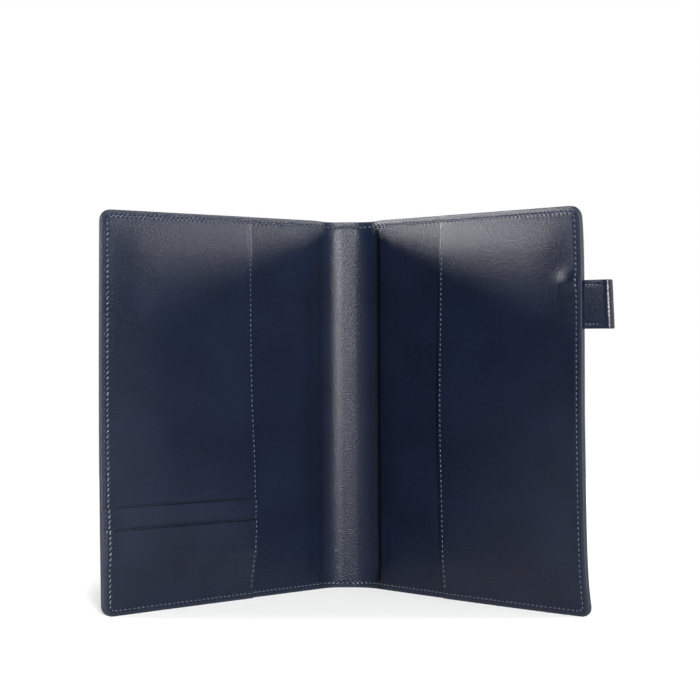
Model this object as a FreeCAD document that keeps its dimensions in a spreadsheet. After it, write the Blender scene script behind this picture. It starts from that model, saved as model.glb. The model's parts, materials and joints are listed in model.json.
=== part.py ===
"""Passport holder, standing open like a book on its bottom edges.

Millimetres, +Z up. The origin is the middle of the spine's bottom edge. The spine lies in the
XZ plane, its outside faces +Y, and both covers come forward towards -Y.

Every cover panel is drawn flat. Across a cover, u runs from its fold line to the fore edge and
n is the height above the seam between cover leather and lining, positive on the inside. Each
body then turns about its fold line by the angle at which the holder stands open.
"""

import FreeCAD, Part
import os
from math import asin, atan2, cos, hypot, sin

import Sketcher

LEFT = -1
RIGHT = 1
SIDE_NAMES = {LEFT: "left", RIGHT: "right"}

DIMENSIONS = [
    ("cover_height", 145.0, "bottom edge to top edge"),
    ("cover_reach", 105.0, "fold line to fore edge"),
    ("spine_half", 7.5, "middle of the spine to a fold line"),
    ("open_angle", 42.0, "a cover's angle from opened flat, in degrees"),
    ("fold_reach", 1.6, "fold line to the start of a flat panel"),
    ("corner_radius", 4.0, "rounding of the fore edge corners"),
    ("outer_thick", 1.1, "cover leather"),
    ("board_thick", 0.5, "stiffener board"),
    ("lining_thick", 0.6, "lining leather"),
    ("board_inset", 3.5, "rim to a cover's board"),
    ("board_fold_gap", 3.0, "fold line to a cover's board"),
    ("board_play", 0.15, "clearance round a board in its recess"),
    ("pocket_start", 39.5, "fold line to a pocket's free edge"),
    ("pocket_thick", 0.8, "pocket leather"),
    ("pocket_gap", 0.7, "room under a pocket for a passport's cover"),
    ("margin_width", 3.2, "sewn margin of a pocket"),
    ("slot_thick", 0.5, "card slot leather"),
    ("upper_slot_top", 38.9, "height of the upper card slot's edge"),
    ("upper_slot_low", 18.8, "height where the upper slot's leather ends"),
    ("lower_slot_top", 30.8, "height of the lower card slot's edge"),
    ("seam_inset", 2.0, "rim to the outer side of the perimeter seam"),
    ("edge_seam_inset", 1.3, "pocket's free edge to its own seam"),
    ("thread_width", 0.6, "width of a line of stitches"),
    ("thread_proud", 0.3, "height of a line of stitches"),
    ("loop_low", 102.1, "bottom edge of the pen loop"),
    ("loop_height", 16.8, "height of the pen loop's strip"),
    ("loop_reach", 12.8, "fore edge to the pen loop's end"),
    ("loop_radius", 4.2, "outer radius of the pen loop's fold"),
    ("loop_wall", 1.0, "pen loop leather"),
    ("loop_gap", 0.4, "fore edge, where the pen loop swings, to its narrow end"),
    ("loop_root_half", 0.3, "half thickness of the pen loop at its narrow end"),
    ("loop_mouth_half", 0.25, "half width of the pen channel at its narrow end"),
    ("loop_mouth_start", 2.4, "fore edge to the narrow end of the pen channel"),
    ("loop_seam_inset", 1.0, "pen loop's edge to its seam"),
    ("loop_seam_start", 2.0, "fore edge to the pen loop's first stitch"),
    ("tab_thick", 0.6, "pressed thickness of the pen loop's sewn root"),
    ("tab_reach", 3.2, "depth of the pen loop's root behind the fore edge"),
]

# heights above the seam between cover leather and lining, as sheet expressions
BACK = "-Dims.outer_thick"
THREAD_BACK = "-Dims.outer_thick - Dims.thread_proud"
SEAM_PLANE = "0"
LINING_TOP = "Dims.board_thick + Dims.lining_thick"
POCKET_UNDER = LINING_TOP + " + Dims.pocket_gap"
POCKET_TOP = POCKET_UNDER + " + Dims.pocket_thick"
UPPER_SLOT_TOP_FACE = POCKET_TOP + " + Dims.slot_thick"
LOWER_SLOT_TOP_FACE = POCKET_TOP + " + 2 * Dims.slot_thick"

# places across a cover, from its fold line
PANEL_START = "Dims.fold_reach"
FORE_EDGE = "Dims.cover_reach"
POCKET_EDGE = "Dims.pocket_start"
PERIMETER_SEAM = "Dims.cover_reach - Dims.seam_inset"
MIDDLE_HEIGHT = "Dims.cover_height / 2"

PRECISION = 1e-4

doc = FreeCAD.newDocument("PassportHolder")


# ---------------------------------------------------------------- the sheet of dimensions


def make_sheet():
    """The driving dimensions, one row each: name, value and what it measures."""
    sheet = doc.addObject("Spreadsheet::Sheet", "Dims")
    for row, (name, value, meaning) in enumerate(DIMENSIONS, start=1):
        sheet.set(f"A{row}", name)
        sheet.set(f"B{row}", str(value))
        sheet.set(f"C{row}", meaning)
        sheet.setAlias(f"B{row}", name)
    doc.recompute()
    return sheet


sheet = make_sheet()


def size(expression):
    """The number that a sheet expression comes to."""
    value = sheet.evalExpression(expression.replace("Dims.", ""))
    return float(getattr(value, "Value", value))


# ---------------------------------------------------------------- bodies and their sketches


def make_body(label):
    body = doc.addObject("PartDesign::Body", label)
    body.Label = label
    body.AllowCompound = True
    return body


def origin_plane(body, role):
    return next(plane for plane in body.Origin.OriginFeatures if plane.Role == role)


def make_sketch(body, name, role="XZ_Plane", offset="0"):
    """A sketch on one of the body's own planes, lifted along the plane's normal.

    On the XZ plane the sketch's x is u, its y is the height, and it faces the inside.
    """
    sketch = body.newObject("Sketcher::SketchObject", name)
    sketch.AttachmentSupport = [(origin_plane(body, role), "")]
    sketch.MapMode = "FlatFace"
    sketch.setExpression("AttachmentOffset.Base.z", offset)
    return sketch


def bind(sketch, index, expression):
    sketch.setExpression(f"Constraints[{index}]", expression)


def add_bound(sketch, kind, where, expression):
    """A driving constraint whose value follows the sheet."""
    value = size(expression)
    index = sketch.addConstraint(Sketcher.Constraint(kind, *where, value))
    bind(sketch, index, expression)


def corner_point(edges, index):
    """Where edge index meets the edge before it."""
    before = edges[index - 1]
    edge = edges[index]
    across, up = (before, edge) if before[0] == "x" else (edge, before)
    return FreeCAD.Vector(size(across[1]), size(up[1]), 0)


def draw_outline(sketch, edges, rounded=()):
    """A closed outline of edges that are upright and level in turn.

    edges holds ("x", place) for an upright edge and ("z", height) for a level one. rounded maps
    an edge's number to the radius of the corner between it and the edge before it.
    """
    rounded = dict(rounded)
    count = len(edges)
    corners = [corner_point(edges, index) for index in range(count)]
    starts = list(corners)
    ends = [corners[(index + 1) % count] for index in range(count)]
    for index, radius in rounded.items():
        before = index - 1
        along = (ends[index] - corners[index]).normalize()
        back = (starts[before] - corners[index]).normalize()
        starts[index] = corners[index] + along * size(radius)
        ends[before] = corners[index] + back * size(radius)
    lines = [sketch.addGeometry(Part.LineSegment(a, b)) for a, b in zip(starts, ends)]
    for index, (direction, place) in enumerate(edges):
        upright = direction == "x"
        kind = "Vertical" if upright else "Horizontal"
        sketch.addConstraint(Sketcher.Constraint(kind, lines[index]))
        where = (-1, 1, lines[index], 1)
        add_bound(sketch, "DistanceX" if upright else "DistanceY", where, place)
    for index in range(count):
        before = lines[index - 1]
        if index in rounded:
            draw_corner_arc(sketch, before, lines[index], rounded[index])
        else:
            joint = Sketcher.Constraint("Coincident", before, 2, lines[index], 1)
            sketch.addConstraint(joint)


def draw_corner_arc(sketch, before, after, radius):
    """The round corner between two lines that meet at a right angle."""
    first = sketch.Geometry[before].EndPoint
    last = sketch.Geometry[after].StartPoint
    along = (first - sketch.Geometry[before].StartPoint).normalize()
    corner = first + along * size(radius)
    centre = first + last - corner
    half_way = centre + (corner - centre).normalize() * size(radius)
    arc = sketch.addGeometry(Part.Arc(first, half_way, last))
    turns_left = (first - centre).cross(last - centre).z > 0
    head, tail = (1, 2) if turns_left else (2, 1)
    sketch.addConstraint(Sketcher.Constraint("Tangent", before, 2, arc, head))
    sketch.addConstraint(Sketcher.Constraint("Tangent", arc, tail, after, 1))
    add_bound(sketch, "Radius", (arc,), radius)


def pad(body, sketch, name, length):
    feature = body.newObject("PartDesign::Pad", name)
    feature.Profile = sketch
    feature.setExpression("Length", length)
    sketch.Visibility = False
    return feature


def recess(body, sketch, name, depth):
    """Cuts the sketch's outline into the solid on the inside of the sketch, and measures it."""
    doc.recompute()
    before = body.Shape.Volume
    feature = body.newObject("PartDesign::Pocket", name)
    feature.Profile = sketch
    feature.Reversed = True
    feature.setExpression("Length", depth)
    doc.recompute()
    if before - body.Shape.Volume < PRECISION:
        raise RuntimeError(f"{body.Label}: {name} cuts nothing")


def across(side, place):
    """An upright edge at a distance from the fold line, towards this cover's fore edge."""
    return ("x", place if side == RIGHT else f"-({place})")


def slab(body, name, edges, rounded, base, thick):
    """One flat layer of a panel: an outline padded from the height base."""
    sketch = make_sketch(body, name + "Outline", offset=base)
    draw_outline(sketch, edges, rounded)
    return pad(body, sketch, name, thick)


def stand_open(body, side):
    """Puts a body drawn flat on its fold line, turned by the angle it stands open."""
    body.setExpression(
        "Placement",
        f"placement(vector({side} * Dims.spine_half; 0; 0);"
        f" rotation(vector(0; 0; 1); {-side} * Dims.open_angle))",
    )


# ---------------------------------------------------------------- outlines


def cover_outline(side, start, low="0", top="Dims.cover_height"):
    """A panel from start to the fore edge: level, fore edge, level, start."""
    return [("z", low), across(side, FORE_EDGE), ("z", top), across(side, start)]


BOTH_CORNERS = {1: "Dims.corner_radius", 2: "Dims.corner_radius"}
LOW_CORNER = {1: "Dims.corner_radius"}
NO_CORNERS = {}


def strip_outline(side, start, end, low, top):
    return [("z", low), across(side, end), ("z", top), across(side, start)]


def bracket_outline(side, start, reach, edge, stop, width, inward):
    """Half of a C-shaped band: along the top or bottom edge, round a corner, then to stop.

    inward is + where the band's inner side is higher than its outer one, and - where lower.
    """
    return [
        ("z", edge),
        across(side, reach),
        ("z", stop),
        across(side, f"{reach} - {width}"),
        ("z", f"{edge} {inward} {width}"),
        across(side, start),
    ]


def add_band(body, side, name, start, reach, inset, width, base, thick):
    """A C-shaped band, inset from the rim: its lower half, then its upper half."""
    corner = {1: f"Dims.corner_radius - {inset}"}
    low = bracket_outline(side, start, reach, inset, MIDDLE_HEIGHT, width, "+")
    slab(body, name + "Low", low, corner, base, thick)
    top_edge = f"Dims.cover_height - {inset}"
    top = bracket_outline(side, start, reach, top_edge, MIDDLE_HEIGHT, width, "-")
    slab(body, name + "Top", top, corner, base, thick)


# ---------------------------------------------------------------- cover leather and boards


def make_outer_cover(side):
    body = make_body(f"outer_cover_{SIDE_NAMES[side]}")
    edges = cover_outline(side, PANEL_START)
    slab(body, "Leather", edges, BOTH_CORNERS, BACK, "Dims.outer_thick")
    stand_open(body, side)
    return body


def cover_board_outline(side, play):
    return strip_outline(
        side,
        f"Dims.board_fold_gap - {play}",
        f"Dims.cover_reach - Dims.board_inset + {play}",
        f"Dims.board_inset - {play}",
        f"Dims.cover_height - Dims.board_inset + {play}",
    )


def make_cover_board(side):
    body = make_body(f"stiffener_board_{SIDE_NAMES[side]}")
    edges = cover_board_outline(side, "0")
    slab(body, "Board", edges, NO_CORNERS, SEAM_PLANE, "Dims.board_thick")
    stand_open(body, side)
    return body


def make_lining(side):
    """Lining leather, hollowed underneath for the board, and at the pen loop for its root."""
    body = make_body(f"lining_{SIDE_NAMES[side]}")
    edges = cover_outline(side, PANEL_START)
    slab(body, "Leather", edges, BOTH_CORNERS, SEAM_PLANE, LINING_TOP)
    bed = make_sketch(body, "BoardBedOutline")
    draw_outline(bed, cover_board_outline(side, "Dims.board_play"))
    recess(body, bed, "BoardBed", "Dims.board_thick")
    if side == RIGHT:
        notch = make_sketch(body, "LoopRootOutline")
        draw_outline(notch, loop_root_outline("1"))
        recess(body, notch, "LoopRootBed", "Dims.tab_thick")
    stand_open(body, side)
    return body


# ---------------------------------------------------------------- spine


def spine_outline(half, low="0", top="Dims.cover_height"):
    return [("z", low), ("x", half), ("z", top), ("x", f"-({half})")]


SPINE_HALF_FLAT = "Dims.spine_half - Dims.fold_reach"


def make_spine_leather():
    body = make_body("outer_cover_spine")
    slab(body, "Leather", spine_outline(SPINE_HALF_FLAT), NO_CORNERS, BACK, "Dims.outer_thick")
    return body


def make_spine_lining():
    """The spine is soft: it has no board, and its lining lies straight on the cover leather."""
    body = make_body("lining_spine")
    edges = spine_outline(SPINE_HALF_FLAT)
    slab(body, "Leather", edges, NO_CORNERS, SEAM_PLANE, "Dims.lining_thick")
    return body


# the folds: each layer of leather bends round a centre in front of the fold line
FOLD_RADIUS = "Dims.fold_reach / tan(Dims.open_angle / 2 * 1 deg)"


def make_fold(side, label, inner_radius, thick):
    """A leather fold as a part of a ring, tangent to the spine and to the open cover."""
    body = make_body(f"{label}_{SIDE_NAMES[side]}")
    sketch = make_sketch(body, "FoldSection")
    edges = [
        ("z", "0"),
        ("x", f"{inner_radius} + {thick}"),
        ("z", "Dims.cover_height"),
        ("x", inner_radius),
    ]
    draw_outline(sketch, edges)
    turn = body.newObject("PartDesign::Revolution", "Fold")
    turn.Profile = sketch
    turn.ReferenceAxis = (sketch, ["V_Axis"])
    turn.setExpression("Angle", "Dims.open_angle")
    sketch.Visibility = False
    first = "90 - Dims.open_angle" if side == RIGHT else "90"
    body.setExpression(
        "Placement",
        f"placement(vector({side} * ({SPINE_HALF_FLAT}); -{FOLD_RADIUS}; 0);"
        f" rotation(vector(0; 0; 1); {first}))",
    )
    return body


def make_outer_fold(side):
    return make_fold(side, "outer_fold", FOLD_RADIUS, "Dims.outer_thick")


def make_lining_fold(side):
    radius = f"{FOLD_RADIUS} - Dims.lining_thick"
    return make_fold(side, "lining_fold", radius, "Dims.lining_thick")


# ---------------------------------------------------------------- pockets and card slots


def make_pocket(side):
    """The pocket's leather: a flat panel from its free edge to the fore edge."""
    body = make_body(f"pocket_{SIDE_NAMES[side]}")
    edges = cover_outline(side, POCKET_EDGE)
    slab(body, "Leather", edges, BOTH_CORNERS, POCKET_UNDER, "Dims.pocket_thick")
    stand_open(body, side)
    return body


def make_pocket_margin(side):
    """The margin sewn down on three sides, which leaves room under the pocket."""
    body = make_body(f"pocket_margin_{SIDE_NAMES[side]}")
    add_band(
        body,
        side,
        "Margin",
        POCKET_EDGE,
        FORE_EDGE,
        "0",
        "Dims.margin_width",
        LINING_TOP,
        "Dims.pocket_gap",
    )
    stand_open(body, side)
    return body


def make_upper_card_slot():
    """Its lower end is hidden behind the lower slot."""
    body = make_body("card_slot_upper")
    edges = cover_outline(LEFT, POCKET_EDGE, "Dims.upper_slot_low", "Dims.upper_slot_top")
    slab(body, "Leather", edges, NO_CORNERS, POCKET_TOP, "Dims.slot_thick")
    stand_open(body, LEFT)
    return body


def make_lower_card_slot():
    body = make_body("card_slot_lower")
    edges = cover_outline(LEFT, POCKET_EDGE, "0", "Dims.lower_slot_top")
    slab(body, "Leather", edges, LOW_CORNER, UPPER_SLOT_TOP_FACE, "Dims.slot_thick")
    stand_open(body, LEFT)
    return body


# ---------------------------------------------------------------- pen loop


def loop_root_outline(beyond="0"):
    """The loop's sewn root, with its cut let out past the fore edge by beyond."""
    return strip_outline(
        RIGHT,
        "Dims.cover_reach - Dims.tab_reach",
        f"Dims.cover_reach + {beyond}",
        "Dims.loop_low",
        "Dims.loop_low + Dims.loop_height",
    )


def make_loop_root():
    body = make_body("pen_loop_root")
    slab(body, "Leather", loop_root_outline(), NO_CORNERS, SEAM_PLANE, "Dims.tab_thick")
    stand_open(body, RIGHT)
    return body


def draw_drop(sketch, start, half, radius):
    """A drop's outline: a short upright edge at its narrow end, and a round far end."""
    top = FreeCAD.Vector(size(start), size(half), 0)
    low = FreeCAD.Vector(top.x, -top.y, 0)
    bulge = size(radius)
    centre = size("Dims.loop_reach - Dims.loop_radius")
    to_centre = centre - top.x
    slope = asin(bulge / hypot(to_centre, top.y)) - atan2(top.y, to_centre)
    touch = FreeCAD.Vector(centre - bulge * sin(slope), bulge * cos(slope), 0)
    low_touch = FreeCAD.Vector(touch.x, -touch.y, 0)
    far = FreeCAD.Vector(centre + bulge, 0, 0)
    root = sketch.addGeometry(Part.LineSegment(top, low))
    under = sketch.addGeometry(Part.LineSegment(low, low_touch))
    round_end = sketch.addGeometry(Part.Arc(low_touch, far, touch))
    over = sketch.addGeometry(Part.LineSegment(touch, top))
    for constraint in (
        Sketcher.Constraint("Coincident", root, 2, under, 1),
        Sketcher.Constraint("Coincident", over, 2, root, 1),
        Sketcher.Constraint("Tangent", under, 2, round_end, 1),
        Sketcher.Constraint("Tangent", round_end, 2, over, 1),
        Sketcher.Constraint("Symmetric", root, 1, root, 2, -1),
        Sketcher.Constraint("PointOnObject", round_end, 3, -1),
    ):
        sketch.addConstraint(constraint)
    add_bound(sketch, "DistanceX", (-1, 1, root, 1), start)
    add_bound(sketch, "DistanceY", (root, 2, root, 1), f"2 * ({half})")
    add_bound(sketch, "DistanceX", (-1, 1, round_end, 3), "Dims.loop_reach - Dims.loop_radius")
    add_bound(sketch, "Radius", (round_end,), radius)


def place_on_fore_edge(body):
    """Moves a pen loop piece from the origin to the middle of the right cover's fore edge."""
    along = "Dims.cover_reach"
    lift = "Dims.tab_thick / 2"
    turn = "Dims.open_angle * 1 deg"
    x = f"Dims.spine_half + {along} * cos({turn}) - {lift} * sin({turn})"
    y = f"-{along} * sin({turn}) - {lift} * cos({turn})"
    body.setExpression(
        "Placement",
        f"placement(vector({x}; {y}; 0); rotation(vector(0; 0; 1); -Dims.open_angle))",
    )


def make_pen_loop():
    """The strip folded back on itself, open from top to bottom for the pen."""
    body = make_body("pen_loop")
    sketch = make_sketch(body, "LoopSection", "XY_Plane", "Dims.loop_low")
    draw_drop(sketch, "Dims.loop_gap", "Dims.loop_root_half", "Dims.loop_radius")
    inner = "Dims.loop_radius - Dims.loop_wall"
    draw_drop(sketch, "Dims.loop_mouth_start", "Dims.loop_mouth_half", inner)
    pad(body, sketch, "Loop", "Dims.loop_height")
    place_on_fore_edge(body)
    return body


def cut_root_clear(body):
    """Takes the seam's rings away near the root, where the loop has no stitches."""
    sketch = make_sketch(body, "RootOutline", "XY_Plane", "Dims.loop_low")
    span = "Dims.loop_radius + Dims.loop_radius"
    edges = [("z", f"-({span})"), ("x", "Dims.loop_seam_start"), ("z", span), ("x", f"-({span})")]
    draw_outline(sketch, edges)
    recess(body, sketch, "RootCut", "Dims.loop_height")


def make_pen_loop_thread():
    """Two lines of stitches round the loop, near its top and bottom edges."""
    body = make_body("pen_loop_thread")
    low = "Dims.loop_low + Dims.loop_seam_inset"
    top = "Dims.loop_low + Dims.loop_height - Dims.loop_seam_inset - Dims.thread_width"
    outer = "Dims.loop_radius + Dims.thread_proud"
    for name, height in (("LowSeam", low), ("TopSeam", top)):
        sketch = make_sketch(body, name + "Section", "XY_Plane", height)
        start = "Dims.loop_gap - Dims.thread_proud"
        draw_drop(sketch, start, "Dims.loop_root_half + Dims.thread_proud", outer)
        draw_drop(sketch, "Dims.loop_gap", "Dims.loop_root_half", "Dims.loop_radius")
        pad(body, sketch, name, "Dims.thread_width")
    cut_root_clear(body)
    place_on_fore_edge(body)
    return body


# ---------------------------------------------------------------- stitching


def add_level_runs(body, edges_at, base):
    """The seam's straight runs near the bottom and top edges, where there is no corner."""
    low = "Dims.seam_inset"
    top = "Dims.cover_height - Dims.seam_inset - Dims.thread_width"
    for name, height in (("LowRun", low), ("TopRun", top)):
        edges = edges_at(height, f"{height} + Dims.thread_width")
        slab(body, name, edges, NO_CORNERS, base, "Dims.thread_proud")


def make_bobbin_thread(side):
    """The perimeter seam's thread on the outside of a cover."""
    body = make_body(f"bobbin_thread_{SIDE_NAMES[side]}")
    add_band(
        body,
        side,
        "Seam",
        PANEL_START,
        PERIMETER_SEAM,
        "Dims.seam_inset",
        "Dims.thread_width",
        THREAD_BACK,
        "Dims.thread_proud",
    )
    stand_open(body, side)
    return body


def lining_runs(side):
    def edges_at(low, top):
        return strip_outline(side, PANEL_START, "Dims.pocket_start - Dims.thread_width", low, top)

    return edges_at


def make_right_needle_thread():
    """The perimeter seam's thread on the inside of the right cover."""
    body = make_body("needle_thread_right")
    add_level_runs(body, lining_runs(RIGHT), LINING_TOP)
    add_band(
        body,
        RIGHT,
        "Seam",
        POCKET_EDGE,
        PERIMETER_SEAM,
        "Dims.seam_inset",
        "Dims.thread_width",
        POCKET_TOP,
        "Dims.thread_proud",
    )
    stand_open(body, RIGHT)
    return body


def make_left_needle_thread():
    """The same on the left cover, where the seam steps up over the card slots."""
    body = make_body("needle_thread_left")
    corner = {1: "Dims.corner_radius - Dims.seam_inset"}
    width = "Dims.thread_width"
    top_edge = "Dims.cover_height - Dims.seam_inset"
    add_level_runs(body, lining_runs(LEFT), LINING_TOP)
    top = bracket_outline(
        LEFT, POCKET_EDGE, PERIMETER_SEAM, top_edge, "Dims.upper_slot_top", width, "-"
    )
    slab(body, "PocketSeam", top, corner, POCKET_TOP, "Dims.thread_proud")
    step = strip_outline(
        LEFT,
        f"{PERIMETER_SEAM} - {width}",
        PERIMETER_SEAM,
        "Dims.lower_slot_top",
        "Dims.upper_slot_top",
    )
    slab(body, "UpperSlotSeam", step, NO_CORNERS, UPPER_SLOT_TOP_FACE, "Dims.thread_proud")
    low = bracket_outline(
        LEFT, POCKET_EDGE, PERIMETER_SEAM, "Dims.seam_inset", "Dims.lower_slot_top", width, "+"
    )
    slab(body, "LowerSlotSeam", low, corner, LOWER_SLOT_TOP_FACE, "Dims.thread_proud")
    stand_open(body, LEFT)
    return body


def make_spine_thread(label, base):
    body = make_body(label)
    add_level_runs(body, lambda low, top: spine_outline(SPINE_HALF_FLAT, low, top), base)
    return body


def make_pocket_edge_thread(side, levels):
    """The line of stitches along a pocket's free edge, one straight run for each level.

    levels holds (name, low end, top end, height of the face that the run lies on).
    """
    body = make_body(f"pocket_edge_thread_{SIDE_NAMES[side]}")
    start = f"{POCKET_EDGE} + Dims.edge_seam_inset"
    for name, low, top, base in levels:
        edges = strip_outline(side, start, f"{start} + Dims.thread_width", low, top)
        slab(body, name, edges, NO_CORNERS, base, "Dims.thread_proud")
    stand_open(body, side)
    return body


EDGE_SEAM_LOW = "Dims.seam_inset + 2 * Dims.thread_width"
EDGE_SEAM_TOP = "Dims.cover_height - Dims.seam_inset - 2 * Dims.thread_width"
RIGHT_EDGE_LEVELS = [("Seam", EDGE_SEAM_LOW, EDGE_SEAM_TOP, POCKET_TOP)]
LEFT_EDGE_LEVELS = [
    ("PocketSeam", "Dims.upper_slot_top", EDGE_SEAM_TOP, POCKET_TOP),
    ("UpperSlotSeam", "Dims.lower_slot_top", "Dims.upper_slot_top", UPPER_SLOT_TOP_FACE),
    ("LowerSlotSeam", EDGE_SEAM_LOW, "Dims.lower_slot_top", LOWER_SLOT_TOP_FACE),
]


# ---------------------------------------------------------------- the whole holder


def make_all():
    pieces = [make_spine_leather(), make_spine_lining()]
    for side in (LEFT, RIGHT):
        pieces.append(make_outer_cover(side))
        pieces.append(make_cover_board(side))
        pieces.append(make_lining(side))
        pieces.append(make_outer_fold(side))
        pieces.append(make_lining_fold(side))
        pieces.append(make_pocket(side))
        pieces.append(make_pocket_margin(side))
        pieces.append(make_bobbin_thread(side))
    pieces.append(make_upper_card_slot())
    pieces.append(make_lower_card_slot())
    pieces.append(make_loop_root())
    pieces.append(make_pen_loop())
    pieces.append(make_pen_loop_thread())
    pieces.append(make_left_needle_thread())
    pieces.append(make_right_needle_thread())
    pieces.append(make_spine_thread("needle_thread_spine", "Dims.lining_thick"))
    pieces.append(make_spine_thread("bobbin_thread_spine", THREAD_BACK))
    pieces.append(make_pocket_edge_thread(LEFT, LEFT_EDGE_LEVELS))
    pieces.append(make_pocket_edge_thread(RIGHT, RIGHT_EDGE_LEVELS))
    doc.recompute()
    return pieces


def check_all(pieces):
    """Stops with a message if any object failed or any piece isn't a valid solid."""
    for item in doc.Objects:
        if "Invalid" in item.State or "Error" in item.State:
            raise RuntimeError(f"{item.Label} failed: {item.State}")
    for piece in pieces:
        shape = piece.Shape
        if shape.isNull() or not shape.isValid() or not shape.Solids:
            raise RuntimeError(f"{piece.Label} has no valid solid")


def write_all(pieces):
    os.makedirs("parts", exist_ok=True)
    for piece in pieces:
        piece.Shape.exportStep(f"parts/{piece.Label}.step")


pieces = make_all()
check_all(pieces)
write_all(pieces)
for piece in pieces:
    box = piece.Shape.BoundBox
    print(
        f"{piece.Label:26s} solids {len(piece.Shape.Solids)}  volume {piece.Shape.Volume:9.1f}"
        f"  x {box.XMin:7.2f} {box.XMax:7.2f}  y {box.YMin:7.2f} {box.YMax:7.2f}"
        f"  z {box.ZMin:6.2f} {box.ZMax:6.2f}"
    )
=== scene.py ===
"""A leather passport holder standing open on a white studio floor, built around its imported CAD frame.

Lengths are in millimetres until a mesh is made. Every leather sheet is described unfolded: s runs
from the middle of the spine to a cover's fore edge, z runs up from the bottom edge, and n is the
height above the plane where the cover leather and the lining meet, positive on the inside.
"""

import json
from math import cos, pi, radians, sin, tan

import bmesh
import bpy
import numpy as np
from mathutils import Matrix, Vector


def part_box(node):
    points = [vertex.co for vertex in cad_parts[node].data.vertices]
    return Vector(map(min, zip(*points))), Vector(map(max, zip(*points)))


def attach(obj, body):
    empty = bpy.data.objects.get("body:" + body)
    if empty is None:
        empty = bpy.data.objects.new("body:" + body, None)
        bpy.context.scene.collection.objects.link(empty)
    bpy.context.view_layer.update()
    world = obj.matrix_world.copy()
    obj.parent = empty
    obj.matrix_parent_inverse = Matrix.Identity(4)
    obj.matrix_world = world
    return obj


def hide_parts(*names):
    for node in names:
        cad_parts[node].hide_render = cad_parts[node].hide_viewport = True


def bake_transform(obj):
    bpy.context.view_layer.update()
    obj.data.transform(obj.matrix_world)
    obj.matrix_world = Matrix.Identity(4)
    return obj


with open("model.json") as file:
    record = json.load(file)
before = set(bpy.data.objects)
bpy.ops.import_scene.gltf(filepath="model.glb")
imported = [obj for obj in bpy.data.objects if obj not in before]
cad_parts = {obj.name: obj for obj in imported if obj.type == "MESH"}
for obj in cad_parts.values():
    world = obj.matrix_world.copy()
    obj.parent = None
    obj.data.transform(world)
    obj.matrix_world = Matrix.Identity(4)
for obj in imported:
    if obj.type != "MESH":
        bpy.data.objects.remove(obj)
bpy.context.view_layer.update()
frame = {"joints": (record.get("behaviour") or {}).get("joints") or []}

MM = 0.001

# Sizes read from the frame
JOINTS = {joint["name"]: joint for joint in frame["joints"]}
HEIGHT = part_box("outer_cover_left")[1][2] / MM
FOLD_X = JOINTS["right_cover_fold"]["pos_m"][0] / MM
OPEN = radians(-JOINTS["right_cover_fold"]["range_deg"][0])
LOOP_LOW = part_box("pen_loop")[0][2] / MM
LOOP_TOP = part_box("pen_loop")[1][2] / MM

# Sizes of the pieces, as in the CAD model
COVER_REACH = 105.0
CORNER_RADIUS = 4.0
OUTER_THICK = 1.1
BOARD_THICK = 0.5
BOARD_INSET = 3.5
LINING_THICK = 0.6
POCKET_START = 39.5
POCKET_THICK = 0.8
POCKET_LIFT = 0.5
SLOT_THICK = 0.5
UPPER_SLOT_TOP = 38.9
UPPER_SLOT_LOW = 18.8
LOWER_SLOT_TOP = 30.8

# The soft spine: flat in the middle, then an arc on each side that is tangent to the cover
EASE = 5.2
FLAT = FOLD_X - EASE
ARC_RADIUS = EASE / tan(OPEN / 2)
ARC = ARC_RADIUS * OPEN
ARC_END = FLAT + ARC
REACH = ARC_END + COVER_REACH - EASE
POCKET_EDGE = ARC_END + POCKET_START - EASE

# The lining stands a little off the right half of the spine, and has a sharp crease beside it
LINING_OFF = 0.2
LINING_OFF_AT = 5.0
LINING_OFF_HALF = 3.2
CREASE = ARC_END + 0.75
CREASE_DEPTH = 0.55
CREASE_BEFORE = 2.0
CREASE_AFTER = 0.6
# How far either side of the crease the painted shade in the lining's colour reaches
FOLD_SHADE = 2.6

# The spine's top edge lies a little low, between these two distances from its middle
SPINE_DIP = 0.4
DIP_FROM = 8
DIP_TO = 17
DIP_DEEP = 8

# Each board thins to nothing towards the spine and the seams, and so does the lining at the edge
BED_FROM = ARC_END + 3.0
BED_TO = ARC_END + 9.0
SKIVE = 0.2
SKIVE_WIDE = 3.0

# How the covers stand out of true, at their fore edges
RIPPLE = 0.12
LEFT_HOLLOW = 0.7
RIGHT_LEAN = 0.9
RIGHT_TOP_CURL = 1.7
RIGHT_LOW_FLARE = 1.7
RIGHT_LOW_CURL = 3.0

# The pockets and card slots: air between sheets, and how far each stands off the sheet behind it
PLY_GAP = 0.02
POCKET_RISE_WIDE = 24
POCKET_GAPES = {-1: (2.4, 40.0, 30.0), 1: (1.0, 70.0, 34.0)}
GAPE_WIDE = 38.0
POCKET_EDGE_DROP = 0.16
POCKET_EDGE_WIDE = 1.2
UPPER_MOUTH = 0.4
LOWER_MOUTH = 0.55
MOUTH_DEEP = 9
SLOT_EDGE_DROP = 0.12

# The pen loop pulls the pocket leather up beside its top corner
LOOP_PULL = 1.2
LOOP_PULL_INSET = 5.5
LOOP_PULL_WIDE = 4.0
LOOP_PULL_TALL = 3.2

# Seams
SEAM_INSET = 2.0
POCKET_SEAM_INSET = 1.3
STITCH_PITCH = 1.9
THREAD_RADIUS = 0.2
STITCH_SLANT = 0.14
STITCH_SHOWN = 0.58
GROOVE = 0.1
GROOVE_HALF = 0.34
EDGE_PRESS = 0.14
EDGE_WIDE = 1.8
RIM_BULGE = 0.16
RIM_SHARES = (0.15, 0.38, 0.62, 0.85)

# Grid lines of the sheets
LINE_STEP = 1.6
EDGE_LINES = (0.0, 0.1, 0.3, 0.6, 1.0, 1.4, 1.65, 1.85, 2.0, 2.15, 2.35, 2.6, 3.0, 3.6, 4.4, 5.4)
FREE_LINES = (0.0, 0.08, 0.22, 0.45, 0.75, 1.0, 1.15, 1.3, 1.45, 1.65, 2.0, 2.6, 3.6)
PLAIN_LINES = (0.0,)


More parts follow.
